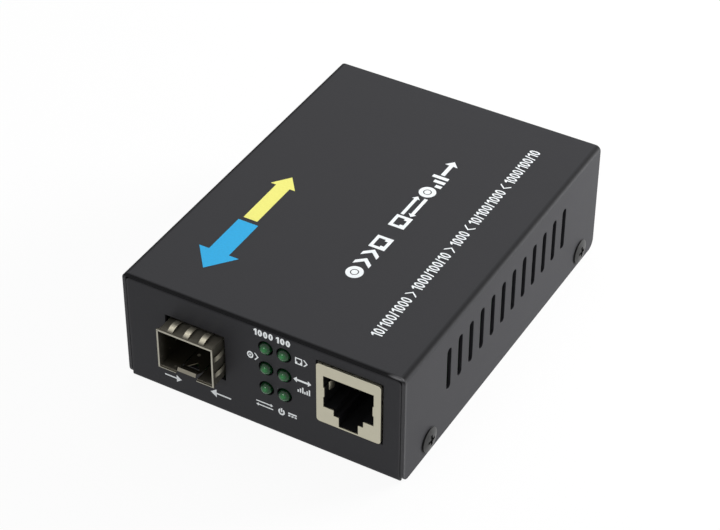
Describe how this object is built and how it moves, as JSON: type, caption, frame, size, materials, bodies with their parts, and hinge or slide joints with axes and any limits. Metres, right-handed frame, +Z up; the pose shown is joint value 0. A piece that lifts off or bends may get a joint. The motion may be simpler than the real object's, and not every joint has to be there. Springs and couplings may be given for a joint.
{
  "type": "fibre media converter",
  "caption": "Small black folded-steel media converter with a fibre module cage, green status lamps and a shielded RJ45 jack in front, vent slots in both sides and a DC inlet behind.",
  "frame": {"origin": "centre of the case's underside, on the surface it stands on", "axes": "+X to the right along the front panel, +Y from the front panel to the rear panel, +Z up"},
  "size_m": [0.0716, 0.0984, 0.0295],
  "materials": {
    "black_moulding": "moulded black thermoplastic",
    "black_powder_coat": "fine-textured black powder coat",
    "black_screw": "black zinc",
    "cage_steel": "nickel-silver sheet",
    "can_aluminium": "drawn aluminium",
    "ceramic": "fired ceramic",
    "chip_epoxy": "moulded epoxy",
    "circuit_board": "green solder mask on glass-epoxy laminate",
    "ferrite": "sintered ferrite",
    "gold_contact": "gold flash",
    "green_lens": "green diffused epoxy",
    "plated_steel": "zinc plated",
    "satin_nickel": "satin nickel plate",
    "spring_steel": "tinned spring bronze",
    "tinned_lead": "tin plated"
  },
  "bodies": {
    "root": {"base_tray": "black_powder_coat", "board_screws": "plated_steel", "board_spacers": "plated_steel", "chip_capacitors": "ceramic", "converter_chip": "chip_epoxy", "converter_chip_leads": "tinned_lead", "cover_screws": "black_screw", "crystal_can": "plated_steel", "dc_jack_housing": "black_moulding", "dc_jack_pin": "tinned_lead", "dc_jack_spring": "tinned_lead", "input_diode": "chip_epoxy", "led_1": "green_lens", "led_2": "green_lens", "led_3": "green_lens", "led_4": "green_lens", "led_5": "green_lens", "led_6": "green_lens", "led_holder": "black_moulding", "led_leads": "tinned_lead", "main_board": "circuit_board", "network_transformer": "chip_epoxy", "power_inductor": "ferrite", "rj45_contacts": "gold_contact", "rj45_housing": "black_moulding", "rj45_shield": "satin_nickel", "settings_memory": "chip_epoxy", "settings_memory_leads": "tinned_lead", "sfp_cage_base": "cage_steel", "sfp_cage_shell": "cage_steel", "sfp_connector_contacts": "gold_contact", "sfp_connector_housing": "black_moulding", "sfp_spring_collar": "spring_steel", "smoothing_capacitors": "can_aluminium", "top_cover": "black_powder_coat", "transformer_leads": "tinned_lead", "voltage_regulator": "chip_epoxy", "voltage_regulator_leads": "tinned_lead"}
  },
  "joints": []
}
